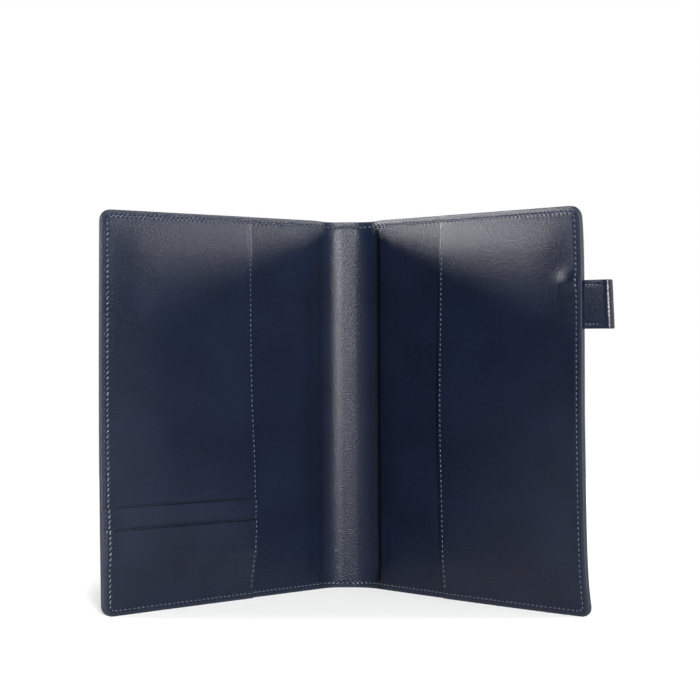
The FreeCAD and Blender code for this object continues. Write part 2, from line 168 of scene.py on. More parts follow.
def smooth(value, start, end):
    """0 before start, 1 after end, and a smooth ramp between."""
    share = np.clip((value - start) / (end - start), 0, 1)
    return share * share * (3 - 2 * share)


def hill(value, middle, half):
    """A soft hill of height 1."""
    return np.exp(-(((value - middle) / half) ** 2))


def spaced(start, end, start_lines, end_lines, step=LINE_STEP):
    """Grid lines from start to end: the given distances from each end, and even steps between."""
    first = [start + line for line in start_lines]
    last = [end - line for line in reversed(end_lines)]
    count = max(2, round((last[0] - first[-1]) / step) + 1)
    middle = np.linspace(first[-1], last[0], count)[1:-1]
    return np.array(first + list(middle) + last)


def with_lines(lines, middle, half, step):
    """The same grid lines, with a denser stretch around one place."""
    kept = lines[np.abs(lines - middle) > half + step / 2]
    extra = np.arange(middle - half, middle + half + step / 2, step)
    return np.sort(np.concatenate([kept, extra]))


# Where a point of a sheet lies


def inset_of(s, z):
    """Distance to the nearest sewn edge of the covers."""
    return np.minimum(np.minimum(REACH - s, z), HEIGHT - z)


def rise(s, z, start, end):
    """0 at the three sewn edges and 1 well inside them, with no ridge running into the corners."""
    return smooth(REACH - s, start, end) * smooth(z, start, end) * smooth(HEIGHT - z, start, end)


def round_corner(s, z):
    """Bends the square corners at the fore edge into round ones, keeping the distance to the edge."""
    across = s - (REACH - CORNER_RADIUS)
    middle = HEIGHT / 2
    up = np.abs(z - middle) - (middle - CORNER_RADIUS)
    inside = (across > 0) & (up > 0)
    across_safe = np.where(inside, across, 1)
    up_safe = np.where(inside, up, 1)
    away = np.maximum(across_safe, up_safe)
    turn = pi / 4 * np.where(across_safe >= up_safe, up_safe / across_safe, 2 - across_safe / up_safe)
    round_s = REACH - CORNER_RADIUS + away * np.cos(turn)
    round_z = middle + np.sign(z - middle) * (middle - CORNER_RADIUS + away * np.sin(turn))
    return np.where(inside, round_s, s), np.where(inside, round_z, z)


def plan(s):
    """Plan position on the seam plane, right of the spine's middle and behind it, and the turn there."""
    turn = OPEN * np.clip((s - FLAT) / ARC, 0, 1)
    straight = np.maximum(s - ARC_END, 0)
    x = np.minimum(s, FLAT) + ARC_RADIUS * np.sin(turn) + straight * cos(OPEN)
    y = -ARC_RADIUS * (1 - np.cos(turn)) - straight * sin(OPEN)
    return x, y, turn


def press(s, z):
    """The share of its height that a sheet keeps: less under the stitches and at the edge."""
    inset = inset_of(s, z)
    edge = EDGE_PRESS * (1 - smooth(inset, 0, EDGE_WIDE)) * smooth(s, FLAT, ARC_END + 4)
    return 1 - GROOVE * hill(inset, SEAM_INSET, GROOVE_HALF) - edge


def bow(side, s, z):
    """How the covers stand out of true: handled leather is never quite flat."""
    out = np.clip((s - ARC_END) / (REACH - ARC_END), 0, 1.02)
    up = 2 * z / HEIGHT - 1
    low = np.clip(-up, 0, 1.02)
    top = np.clip(up, 0, 1.02)
    ripple = RIPPLE * np.sin(s / 17 + 2.1 * side) * np.sin(z / 23 + side) * smooth(out, 0, 0.3)
    if side < 0:
        return ripple - LEFT_HOLLOW * (1 - up * up) * out**2
    flare = RIGHT_LOW_FLARE * low + RIGHT_LOW_CURL * low**6
    return ripple + RIGHT_LEAN * out + (RIGHT_TOP_CURL * top**8 - flare) * out**2


def spine_dip(s, z):
    """How far the spine's top edge lies below the covers', worn down by the fingers that open it."""
    return SPINE_DIP * (1 - smooth(s, DIP_FROM, DIP_TO)) * smooth(z, HEIGHT - DIP_DEEP, HEIGHT)


def place(side, s, n, z, lift=0.0):
    """The point of a sheet in the row frame, in millimetres. Lift is towards the reader."""
    height = n * press(s, z)
    z = z - spine_dip(s, z)
    s, z = round_corner(s, z)
    height = height + bow(side, s, z)
    x, y, turn = plan(s)
    return np.stack([side * (x - height * np.sin(turn)), y - height * np.cos(turn) - lift, z], axis=-1)


# The layers, from the outside in: each gives the heights of its front and its back


def outer_layer(side, s, z):
    return np.zeros_like(s), np.full_like(s, -OUTER_THICK)


def bed(s, z):
    """How far the board holds the lining off the cover leather. Its edges are skived to nothing."""
    return BOARD_THICK * rise(s, z, BOARD_INSET - 1.5, BOARD_INSET + 12) * smooth(s, BED_FROM, BED_TO)


def board_layer(side, s, z):
    return np.maximum(bed(s, z) - 0.03, 0.05), np.full_like(s, 0.02)


def crease(s, z):
    """The sharp fold where the lining leaves the spine on the right: gentle before it, steep after."""
    half = np.where(s < CREASE, CREASE_BEFORE, CREASE_AFTER)
    return CREASE_DEPTH * hill(s, CREASE, half) * smooth(inset_of(s, z), SEAM_INSET, 8)


def lining_layer(side, s, z):
    back = bed(s, z)
    skive = SKIVE * (1 - smooth(inset_of(s, z), 0, SKIVE_WIDE))
    fold = crease(s, z) if side > 0 else 0
    return back + LINING_THICK - skive - fold, back


def pocket_gape(side, s, z):
    """How far a pocket's free edge stands open, most at the edge and nothing where it is sewn."""
    tall, middle, half = POCKET_GAPES[side]
    ends = smooth(np.minimum(z, HEIGHT - z), SEAM_INSET, 16)
    return tall * hill(z, middle, half) * ends * hill(s, POCKET_EDGE, GAPE_WIDE)


def loop_pull(side, s, z):
    """How far the pen loop pulls the right pocket's leather up."""
    if side < 0:
        return 0
    beside = hill(s, REACH - LOOP_PULL_INSET, LOOP_PULL_WIDE)
    return LOOP_PULL * beside * hill(z, LOOP_TOP, LOOP_PULL_TALL)


def pocket_layer(side, s, z):
    under, _ = lining_layer(side, s, z)
    lift = POCKET_LIFT * rise(s, z, SEAM_INSET, POCKET_RISE_WIDE)
    back = under + PLY_GAP + lift + pocket_gape(side, s, z)
    from_edge = s - POCKET_EDGE
    drop = POCKET_EDGE_DROP * (1 - smooth(from_edge, 0, POCKET_EDGE_WIDE))
    groove = 0.08 * hill(from_edge, POCKET_SEAM_INSET, 0.35) + drop
    return back + POCKET_THICK - groove + loop_pull(side, s, z), back


def slot_layer(under, s, z, top, opening):
    """A card slot on the leather under it, whose top edge stands open in the middle."""
    mouth = opening * smooth(z, top - MOUTH_DEEP, top) * rise(s, z, 3, 14)
    mouth = mouth * smooth(s - POCKET_EDGE, POCKET_SEAM_INSET + 0.4, 14)
    back = under + PLY_GAP + mouth
    return back + SLOT_THICK - SLOT_EDGE_DROP * smooth(z, top - 0.5, top), back


def upper_slot_layer(side, s, z):
    under, _ = pocket_layer(side, s, z)
    return slot_layer(under, s, z, UPPER_SLOT_TOP, UPPER_MOUTH)


def lower_slot_layer(side, s, z):
    pocket, _ = pocket_layer(side, s, z)
    upper, _ = upper_slot_layer(side, s, z)
    under = pocket + (upper - pocket) * smooth(z, UPPER_SLOT_LOW - 2.5, UPPER_SLOT_LOW - 0.2)
    return slot_layer(under, s, z, LOWER_SLOT_TOP, LOWER_MOUTH)


def lining_lift(side, s, z):
    """How far the lining stands off the spine, which it does only to the right of the middle."""
    off = LINING_OFF * hill(side * s, LINING_OFF_AT, LINING_OFF_HALF)
    return off * smooth(np.minimum(z, HEIGHT - z), SEAM_INSET + 0.3, 14)


def no_lift(side, s, z):
    return 0.0


def top_of_inside(side, s, z):
    """Height of whichever sheet shows on the inside."""
    height, _ = lining_layer(side, s, z)
    pocket, _ = pocket_layer(side, s, z)
    height = np.where(s > POCKET_EDGE, pocket, height)
    if side < 0:
        upper, _ = upper_slot_layer(side, s, z)
        lower, _ = lower_slot_layer(side, s, z)
        height = np.where((s > POCKET_EDGE) & (z < UPPER_SLOT_TOP), upper, height)
        height = np.where((s > POCKET_EDGE) & (z < LOWER_SLOT_TOP), lower, height)
    return height


# Mesh building


def border_of(number, free_start):
    """The grid's border in order, and the way out of the sheet at each of its points."""
    last_s, last_z = number.shape[0] - 1, number.shape[1] - 1
    start_out = -1 if free_start else 0
    places = [(i, 0) for i in range(last_s)]
    places += [(last_s, j) for j in range(last_z)]
    places += [(i, last_z) for i in range(last_s, 0, -1)]
    places += [(0, j) for j in range(last_z, 0, -1)]
    out_s = [start_out if i == 0 else 1 if i == last_s else 0 for i, _ in places]
    out_z = [-1 if j == 0 else 1 if j == last_z else 0 for _, j in places]
    return np.array([number[spot] for spot in places]), np.array(out_s), np.array(out_z)


def new_object(name, points, faces, materials, rim_from=None):
    """A smooth mesh object, in metres, with its faces turned outwards."""
    mesh = bpy.data.meshes.new(name)
    mesh.from_pydata((np.asarray(points) * MM).tolist(), [], faces)
    for material in materials:
        mesh.materials.append(material)
    if rim_from is not None:
        index = np.zeros(len(faces), np.int32)
        index[rim_from:] = 1
        mesh.polygons.foreach_set("material_index", index)
    work = bmesh.new()
    work.from_mesh(mesh)
    bmesh.ops.recalc_face_normals(work, faces=work.faces)
    work.to_mesh(mesh)
    work.free()
    mesh.polygons.foreach_set("use_smooth", np.ones(len(mesh.polygons), bool))
    mesh.update()
    obj = bpy.data.objects.new(name, mesh)
    bpy.context.scene.collection.objects.link(obj)
    return obj


def keep_flat_place(obj, flat):
    """Stores where each point lies on the unfolded leather, for its material, in metres."""
    attribute = obj.data.attributes.new("flat", "FLOAT_VECTOR", "POINT")
    attribute.data.foreach_set("vector", (np.asarray(flat) * MM).astype(np.float32).ravel())


def mark_split(obj, line):
    """Keeps the shading of the skins apart from the hidden wall where two halves meet."""
    mesh = obj.data
    ends = np.zeros(len(mesh.edges) * 2, np.int32)
    mesh.edges.foreach_get("vertices", ends)
    sharp = np.isin(ends, line).reshape(-1, 2).all(axis=1)
    attribute = mesh.attributes.new("sharp_edge", "BOOLEAN", "EDGE")
    attribute.data.foreach_set("value", sharp)


def shell(name, surface, across, along, materials, free_start=True):
    """A closed sheet: a front and a back skin over a grid, joined by a rounded rim.

    surface(s, z, share) gives points, with share 0 on the front and 1 on the back.
    """
    s, z = np.meshgrid(across, along, indexing="ij")
    number = np.arange(s.size).reshape(s.shape)
    border, out_s, out_z = border_of(number, free_start)
    s, z = s.ravel(), z.ravel()
    points = [surface(s, z, 0.0), surface(s, z, 1.0)]
    flat = [np.stack([s, z, inset_of(s, z)], axis=-1)] * 2
    rings = [border]
    made = 2 * s.size
    for share in RIM_SHARES:
        bulge = RIM_BULGE * sin(pi * share)
        points.append(surface(s[border] + bulge * out_s, z[border] + bulge * out_z, share))
        flat.append(flat[0][border])
        rings.append(made + np.arange(len(border)))
        made += len(border)
    rings.append(border + s.size)
    quads = np.stack([number[:-1, :-1], number[1:, :-1], number[1:, 1:], number[:-1, 1:]], axis=-1)
    quads = quads.reshape(-1, 4)
    faces = quads.tolist() + (quads[:, ::-1] + s.size).tolist()
    rim_from = len(faces)
    for near, far in zip(rings[:-1], rings[1:]):
        faces += np.stack([near, np.roll(near, -1), np.roll(far, -1), far], axis=-1).tolist()
    obj = new_object(name, np.concatenate(points), faces, materials, rim_from)
    keep_flat_place(obj, np.concatenate(flat))
    if not free_start:
        mark_split(obj, np.concatenate([number[0], number[0] + s.size]))
    return obj


def sheet_surface(side, layer, lift=no_lift):
    """The surface function of one leather sheet of a cover."""

    def surface(s, z, share):
        front, back = layer(side, s, z)
        return place(side, s, front + (back - front) * share, z, lift(side, s, z))

    return surface


def stitch_row(name, lay, holes_s, holes_z, material):
    """One small bent piece of thread between each needle hole and the next.

    lay(s, z, height) gives the point at a height above the visible leather.
    """
    along = np.array([0.0, 0.1, 0.28, 0.5, 0.72, 0.9, 1.0])
    thick = np.array([0.6, 0.9, 1.0, 1.0, 1.0, 0.9, 0.6])
    above = np.array([-0.3, -0.02, 0.13, 0.17, 0.13, -0.02, -0.3])
    sides = 8
    around = np.linspace(0, 2 * pi, sides, endpoint=False)
    step_s, step_z = np.diff(holes_s), np.diff(holes_z)
    length = np.hypot(step_s, step_z)
    shape = (len(step_s), len(along), sides)
    t = np.broadcast_to((0.5 + STITCH_SHOWN * (along - 0.5))[None, :, None], shape)
    radius = np.broadcast_to((THREAD_RADIUS * thick)[None, :, None], shape)
    turn = np.broadcast_to(around[None, None, :], shape)
    aside = STITCH_SLANT * (2 * t - 1) + radius * np.cos(turn)
    s = holes_s[:-1, None, None] + step_s[:, None, None] * t - (step_z / length)[:, None, None] * aside
    z = holes_z[:-1, None, None] + step_z[:, None, None] * t + (step_s / length)[:, None, None] * aside
    height = np.broadcast_to(above[None, :, None], shape) + 0.85 * radius * np.sin(turn)
    points = lay(s.ravel(), z.ravel(), height.ravel())
    number = np.arange(s.size).reshape(shape)
    ahead = np.roll(number, -1, axis=2)
    walls = np.stack([number[:, :-1], number[:, 1:], ahead[:, 1:], ahead[:, :-1]], axis=-1).reshape(-1, 4)
    faces = walls.tolist() + number[:, 0, ::-1].tolist() + number[:, -1].tolist()
    obj = new_object(name, points, faces, [material])
    run = (np.arange(shape[0])[:, None, None] + t) * STITCH_PITCH
    keep_flat_place(obj, np.stack([run.ravel(), turn.ravel() * THREAD_RADIUS, height.ravel()], axis=-1))
    return obj


def holes_round_edge():
    """Needle holes along the bottom, fore edge and top, evenly spaced from the spine's middle."""
    far = REACH - SEAM_INSET
    corners_s = np.array([0, far, far, 0])
    corners_z = np.array([SEAM_INSET, SEAM_INSET, HEIGHT - SEAM_INSET, HEIGHT - SEAM_INSET])
    run = np.concatenate([[0], np.cumsum(np.hypot(np.diff(corners_s), np.diff(corners_z)))])
    marks = np.linspace(0, run[-1], round(run[-1] / STITCH_PITCH) + 1)
    return np.interp(marks, run, corners_s), np.interp(marks, run, corners_z)


def holes_up_pocket():
    """Needle holes along a pocket's free edge."""
    count = round((HEIGHT - 2 * SEAM_INSET) / STITCH_PITCH) - 1
    marks = np.linspace(SEAM_INSET + STITCH_PITCH, HEIGHT - SEAM_INSET - STITCH_PITCH, count)
    return np.full_like(marks, POCKET_EDGE + POCKET_SEAM_INSET), marks


# Materials. Places on the leather are in metres, and noise scales are in cycles a metre

PORE_SCALE = 2300.0
CLOUD_SCALE = 42.0
DRIFT_SCALE = 11.0
PUCKER = 1.0
WORN = (0.018, 0.022, 0.034, 1)
# Near-black for painted shade along the lining's crease and on the loop's fold, and for the slot edges'
# black dye and painted shade
BLACK_DYE_AND_SHADE = (0.0008, 0.001, 0.002, 1)
PORE_DYE = (0.0015, 0.002, 0.004, 1)


def add_node(tree, kind, inputs=None, **settings):
    """A shader node with its settings, and its inputs linked or set."""
    node = tree.nodes.new(kind)
    for name, value in settings.items():
        setattr(node, name, value)
    for name, value in (inputs or {}).items():
        if isinstance(value, bpy.types.NodeSocket):
            tree.links.new(value, node.inputs[name])
        else:
            node.inputs[name].default_value = value
    return node


def new_material(name):
    """An empty node material, its tree and its main shader."""
    material = bpy.data.materials.new(name)
    material.use_nodes = True
    tree = material.node_tree
    return material, tree, tree.nodes["Principled BSDF"]


def join(tree, shader, **inputs):
    """Links or sets the main shader's inputs."""
    for name, value in inputs.items():
        socket = shader.inputs[name.replace("_", " ")]
        if isinstance(value, bpy.types.NodeSocket):
            tree.links.new(value, socket)
        else:
            socket.default_value = value


def noise(tree, spot, scale, detail=2.0):
    """Two-dimensional noise over the unfolded leather."""
    inputs = {"Vector": spot, "Scale": scale, "Detail": detail}
    return add_node(tree, "ShaderNodeTexNoise", inputs, noise_dimensions="2D").outputs[0]


def to_range(tree, value, low, high, new_low, new_high):
    """The value with one range turned into another."""
    inputs = {"Value": value, "From Min": low, "From Max": high, "To Min": new_low, "To Max": new_high}
    return add_node(tree, "ShaderNodeMapRange", inputs).outputs[0]


def mix(tree, share, first, second):
    """A mix of two colours."""
    node = add_node(tree, "ShaderNodeMix", data_type="RGBA")
    colours = [socket for socket in node.inputs if socket.type == "RGBA"]
    for socket, value in zip([node.inputs[0], *colours], (share, first, second)):
        if isinstance(value, bpy.types.NodeSocket):
            tree.links.new(value, socket)
        else:
            socket.default_value = value
    return [socket for socket in node.outputs if socket.type == "RGBA"][0]


def maths(tree, operation, first, second):
    """One sum on two values."""
    return add_node(tree, "ShaderNodeMath", {0: first, 1: second}, operation=operation).outputs[0]


def pucker(tree, across, up, inset):
    """The small waves that the stitches pull up in the leather beside them."""
    run = maths(tree, "MULTIPLY", maths(tree, "ADD", across, up), 2 * pi / (STITCH_PITCH * MM))
    wave = add_node(tree, "ShaderNodeMath", {0: run}, operation="SINE").outputs[0]
    from_seam = maths(tree, "ABSOLUTE", maths(tree, "SUBTRACT", inset, SEAM_INSET * MM), 0.0)
    near = to_range(tree, from_seam, 0.0001, 0.0011, PUCKER, 0.0)
    return maths(tree, "MULTIPLY", wave, near)


def leather_material(name, dark, light, roughness, gloss=0.22, grain=0.0001, fold=0.0, top=0.0, matt_and_shade=0.0):
    """Smooth dyed leather: fine pores, cloudy dye, and edges that handling has polished lighter.

    Gloss is the specular level and grain how deep the pores are. Fold is how dark the painted shade
    along the crease is, and top the height of a slot's edge, under which a line is painted dark (black
    edge dye and painted shade of the gap under it). The last argument is how far along a strip the
    leather is rougher and painted darker, a painted shade that keeps the fold from shining.
    """
    material, tree, shader = new_material(name)
    spot = add_node(tree, "ShaderNodeAttribute", attribute_name="flat").outputs["Vector"]
    split = add_node(tree, "ShaderNodeSeparateXYZ", {"Vector": spot})
    across, up, inset = split.outputs
    pore_inputs = {"Vector": spot, "Scale": PORE_SCALE}
    cells = add_node(tree, "ShaderNodeTexVoronoi", pore_inputs, voronoi_dimensions="2D").outputs["Distance"]
    speckle = noise(tree, spot, PORE_SCALE, 1.0)
    clouds = noise(tree, spot, CLOUD_SCALE, 4.0)
    drift = noise(tree, spot, DRIFT_SCALE, 2.0)
    dye = mix(tree, to_range(tree, clouds, 0.35, 0.65, 0.0, 1.0), dark, light)
    dye = mix(tree, to_range(tree, drift, 0.3, 0.7, 0.0, 0.35), dye, light)
    pores = to_range(tree, cells, 0.0, 0.35, 0.82, 1.0)
    dye = mix(tree, pores, PORE_DYE, dye)
    polish = to_range(tree, inset, 0.0, 0.0014, 0.55, 0.0)
    dye = mix(tree, polish, dye, WORN)
    # Painted shade: the colour darkens towards black along the crease where the lining leaves the spine
    if fold > 0:
        off_fold = maths(tree, "ABSOLUTE", maths(tree, "SUBTRACT", across, CREASE * MM), 0.0)
        painted_crease_shade = to_range(tree, off_fold, 0.0002, FOLD_SHADE * MM, fold, 0.0)
        dye = mix(tree, painted_crease_shade, dye, BLACK_DYE_AND_SHADE)
    # Dark line under a slot's top edge: part black edge dye, part painted shade of the gap under the edge
    if top > 0:
        line = to_range(tree, up, (top - 0.6) * MM, (top - 0.3) * MM, 0.0, 0.9)
        dye = mix(tree, line, dye, BLACK_DYE_AND_SHADE)
    rough = to_range(tree, speckle, 0.3, 0.7, roughness - 0.06, roughness + 0.06)
    rough = maths(tree, "ADD", rough, to_range(tree, drift, 0.3, 0.7, -0.02, 0.02))
    # Along the first part of a strip the leather is rougher, and its colour is painted darker as painted
    # shade so the fold shows no sheen
    if matt_and_shade > 0:
        rubbed_and_shaded = to_range(tree, across, (matt_and_shade - 0.5) * MM, matt_and_shade * MM, 1.0, 0.0)
        dye = mix(tree, maths(tree, "MULTIPLY", rubbed_and_shaded, 0.8), dye, BLACK_DYE_AND_SHADE)
        rough = maths(tree, "ADD", rough, maths(tree, "MULTIPLY", rubbed_and_shaded, 0.35))
    relief = maths(tree, "MULTIPLY", cells, 0.15)
    relief = maths(tree, "ADD", relief, speckle)
    relief = maths(tree, "ADD", relief, pucker(tree, across, up, inset))
    bump = add_node(tree, "ShaderNodeBump", {"Height": relief, "Strength": 0.8, "Distance": grain})
    join(tree, shader, Base_Color=dye, Roughness=rough, Normal=bump.outputs[0])
    shader.inputs["Specular IOR Level"].default_value = gloss
    return material


def edge_material():
    """Painted edges: a satin, slightly lumpy coat."""
    material, tree, shader = new_material("edge_paint")
    spot = add_node(tree, "ShaderNodeTexCoord").outputs["Object"]
    lump_inputs = {"Vector": spot, "Scale": 700.0, "Detail": 3.0}
    lumps = add_node(tree, "ShaderNodeTexNoise", lump_inputs).outputs[0]
    paint = mix(tree, lumps, (0.006, 0.008, 0.014, 1), (0.016, 0.02, 0.03, 1))
    bump = add_node(tree, "ShaderNodeBump", {"Height": lumps, "Strength": 0.5, "Distance": 0.0001})
    rough = to_range(tree, lumps, 0, 1, 0.45, 0.65)
    join(tree, shader, Base_Color=paint, Roughness=rough, Normal=bump.outputs[0])
    shader.inputs["Specular IOR Level"].default_value = 0.2
    return material


def thread_material():
    """Waxed blue-grey thread, twisted from fine strands."""
    material, tree, shader = new_material("waxed_thread")
    spot = add_node(tree, "ShaderNodeAttribute", attribute_name="flat").outputs["Vector"]
    twist = {"Vector": spot, "Scale": 900.0, "Distortion": 0.6, "Detail": 1.0}
    strands = add_node(tree, "ShaderNodeTexWave", twist, bands_direction="DIAGONAL").outputs["Fac"]
    colour = mix(tree, strands, (0.022, 0.029, 0.05, 1), (0.06, 0.074, 0.112, 1))
    bump = add_node(tree, "ShaderNodeBump", {"Height": strands, "Strength": 0.6, "Distance": 0.00005})
    rough = to_range(tree, strands, 0, 1, 0.5, 0.38)
    join(tree, shader, Base_Color=colour, Roughness=rough, Normal=bump.outputs[0])
    return material


def board_material():
    """Grey-brown bonded fibre board."""
    material, tree, shader = new_material("fibre_board")
    spot = add_node(tree, "ShaderNodeAttribute", attribute_name="flat").outputs["Vector"]
    fibres = noise(tree, spot, 900.0, 5.0)
    colour = mix(tree, fibres, (0.16, 0.13, 0.1, 1), (0.34, 0.29, 0.22, 1))
    bump = add_node(tree, "ShaderNodeBump", {"Height": fibres, "Strength": 0.5, "Distance": 0.0001})
    rough = to_range(tree, fibres, 0.3, 0.7, 0.75, 0.95)
    join(tree, shader, Base_Color=colour, Roughness=rough, Normal=bump.outputs[0])
    return material


outer_colours = ((0.0025, 0.0045, 0.0140, 1), (0.0036, 0.0066, 0.0190, 1))
outer_leather = leather_material("outer_leather", *outer_colours, 0.36)
lining_colours = ((0.0024, 0.0045, 0.0115, 1), (0.0034, 0.0062, 0.0158, 1))
lining_finish = (*lining_colours, 0.31, 0.18, 0.00011)
# Both lining halves are painted darker along the crease at the spine: painted shade, deeper on the right
lining_leathers = {
    "left": leather_material("lining_leather_left", *lining_finish, fold=0.3),
    "right": leather_material("lining_leather_right", *lining_finish, fold=0.9),
}
pocket_colours = ((0.0019, 0.0038, 0.0108, 1), (0.0028, 0.0055, 0.0150, 1))
pocket_leather = leather_material("pocket_leather", *pocket_colours, 0.33)
# Each slot gets a painted dark line under its top edge: black edge dye and painted shade of the gap under
# it
slot_leathers = {
    "upper": leather_material("slot_leather_upper", *pocket_colours, 0.33, top=UPPER_SLOT_TOP),
    "lower": leather_material("slot_leather_lower", *pocket_colours, 0.33, top=LOWER_SLOT_TOP),
}
edge_paint = edge_material()
thread = thread_material()
board = board_material()


# The pieces

SIDES = (("left", -1), ("right", 1))


def bend_at_fold(obj, name, side):
    """Bakes the piece's placement into its mesh. The points where the spine's arc starts and ends are
    worked out but not used.
    """
    start = place(side, np.array(FLAT - 1.0), 0.0, np.array(0.0)) * MM
    end = place(side, np.array(ARC_END + 1.0), 0.0, np.array(0.0)) * MM
    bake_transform(obj)


def make_outer(name, side):
    """One half of the cover leather, from the spine's middle to the fore edge."""
    across = with_lines(spaced(0, REACH, PLAIN_LINES, EDGE_LINES), ARC_END / 2, ARC_END / 2 - 0.6, 0.8)
    along = spaced(0, HEIGHT, EDGE_LINES, EDGE_LINES)
    surface = sheet_surface(side, outer_layer)
    obj = shell(f"outer_leather_{name}", surface, across, along, [outer_leather, edge_paint], False)
    bend_at_fold(obj, name, side)
    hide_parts(f"outer_cover_{name}", f"outer_fold_{name}", "outer_cover_spine")


def make_board(name, side):
    """The stiffener between the cover leather and the lining."""
    across = spaced(BED_FROM + 2, REACH - BOARD_INSET, PLAIN_LINES, PLAIN_LINES, 2.5)
    along = spaced(BOARD_INSET, HEIGHT - BOARD_INSET, PLAIN_LINES, PLAIN_LINES, 2.5)
    obj = shell(f"stiffener_{name}", sheet_surface(side, board_layer), across, along, [board, board])
    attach(obj, f"{name}_cover")
    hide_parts(f"stiffener_board_{name}")


def make_lining(name, side):
    """One half of the lining, from the spine's middle to the fore edge."""
    across = spaced(0, REACH, PLAIN_LINES, EDGE_LINES)
    across = with_lines(across, ARC_END / 2 + 0.6, ARC_END / 2 + 0.2, 0.6)
    across = with_lines(across, CREASE, 1.6, 0.16)
    along = spaced(0, HEIGHT, EDGE_LINES, EDGE_LINES)
    surface = sheet_surface(side, lining_layer, lining_lift)
    materials = [lining_leathers[name], edge_paint]
    obj = shell(f"lining_leather_{name}", surface, across, along, materials, False)
    bend_at_fold(obj, name, side)
    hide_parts(f"lining_{name}", f"lining_fold_{name}", "lining_spine")


def make_pocket(name, side):
    """The pocket over a cover's lining, sewn on three sides."""
    across = spaced(POCKET_EDGE, REACH, FREE_LINES, EDGE_LINES)
    along = spaced(0, HEIGHT, EDGE_LINES, EDGE_LINES)
    surface = sheet_surface(side, pocket_layer)
    obj = shell(f"pocket_leather_{name}", surface, across, along, [pocket_leather, edge_paint])
    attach(obj, f"{name}_cover")
    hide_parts(f"pocket_{name}", f"pocket_margin_{name}")


def make_slot(name, layer, low, top, low_lines):
    """A card slot's strip of leather across the left pocket."""
    across = spaced(POCKET_EDGE, REACH, FREE_LINES, EDGE_LINES)
    along = spaced(low, top, low_lines, FREE_LINES, 1.2)
    surface = sheet_surface(-1, layer)
    obj = shell(f"card_slot_leather_{name}", surface, across, along, [slot_leathers[name], edge_paint])
    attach(obj, "left_cover")
    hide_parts(f"card_slot_{name}")


def make_seams(name, side):
    """The edge seam's thread inside and outside one half, and the thread along its pocket's edge."""

    def inside(s, z, height):
        return place(side, s, top_of_inside(side, s, z) + height, z, lining_lift(side, s, z))

    def outside(s, z, height):
        return place(side, s, -OUTER_THICK - height, z)

    holes_s, holes_z = holes_round_edge()
    for word, node, lay in (("inside", "needle", inside), ("outside", "bobbin", outside)):
        obj = stitch_row(f"{word}_seam_{name}", lay, holes_s, holes_z, thread)
        bend_at_fold(obj, name, side)
        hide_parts(f"{node}_thread_{name}", f"{node}_thread_spine")
    obj = stitch_row(f"pocket_edge_seam_{name}", inside, *holes_up_pocket(), thread)
    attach(obj, f"{name}_cover")
    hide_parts(f"pocket_edge_thread_{name}")


# The pen loop: a strip folded back on itself, sewn flat near its root and open beyond. Here s runs out
# from the cover's fore edge and n towards the reader, and the strip's own length is its run

LOOP_REACH = 11.5
LOOP_ROOT = -2.4
LOOP_WALL = 1.0
LOOP_HALF = 1.5
LOOP_MIDDLE = 0.35
LOOP_SKEW = 0.45

# It opens from flat to its full width between these two places
LOOP_FLAT = 3.5
LOOP_WIDEN = 9.8

# Its two rows of stitches, from just under the cover's edge to where they end
LOOP_SEAM_INSET = 1.5
LOOP_SEAM_START = 0.9
LOOP_SEAM_END = 7.6
LOOP_PITCH = 1.5
LOOP_GROOVE = 0.12
LOOP_EDGE_PRESS = 0.15

LOOP_LINES = (0.0, 0.1, 0.3, 0.6, 0.9, 1.2, 1.5, 1.8, 2.2, 2.8)


def loop_line():
    """The middle of the loop's wall: s, n and the run, from its root's back round the fold to the front."""
    end = LOOP_REACH - LOOP_WALL / 2 - LOOP_HALF
    straight = np.linspace(LOOP_ROOT, end, 40)
    closed = LOOP_WALL / 2 + 0.04
    opened = (LOOP_HALF - closed) * smooth(straight, LOOP_FLAT, LOOP_WIDEN)
    turn = np.linspace(-pi / 2, pi / 2, 19)[1:-1]
    s = np.concatenate([straight, end + LOOP_HALF * np.cos(turn), straight[::-1]])
    bend = closed - LOOP_HALF + LOOP_HALF * np.sin(turn)
    n = np.concatenate([-closed - 2 * opened, bend, np.full(40, closed)])
    run = np.concatenate([[0], np.cumsum(np.hypot(np.diff(s), np.diff(n)))])
    return s, n, run


LOOP_S, LOOP_N, LOOP_RUN = loop_line()
LOOP_LONG = LOOP_RUN[-1]

# The outside of the fold is rougher and its colour painted darker, a painted shade, up to just past its
# middle
LOOP_MATT_AND_SHADE = LOOP_LONG / 2 + 1.2
loop_colours = ((0.0026, 0.0046, 0.0125, 1), (0.0036, 0.0064, 0.0170, 1))
loop_leather = leather_material("loop_leather", *loop_colours, 0.31, grain=0.00006, matt_and_shade=LOOP_MATT_AND_SHADE)


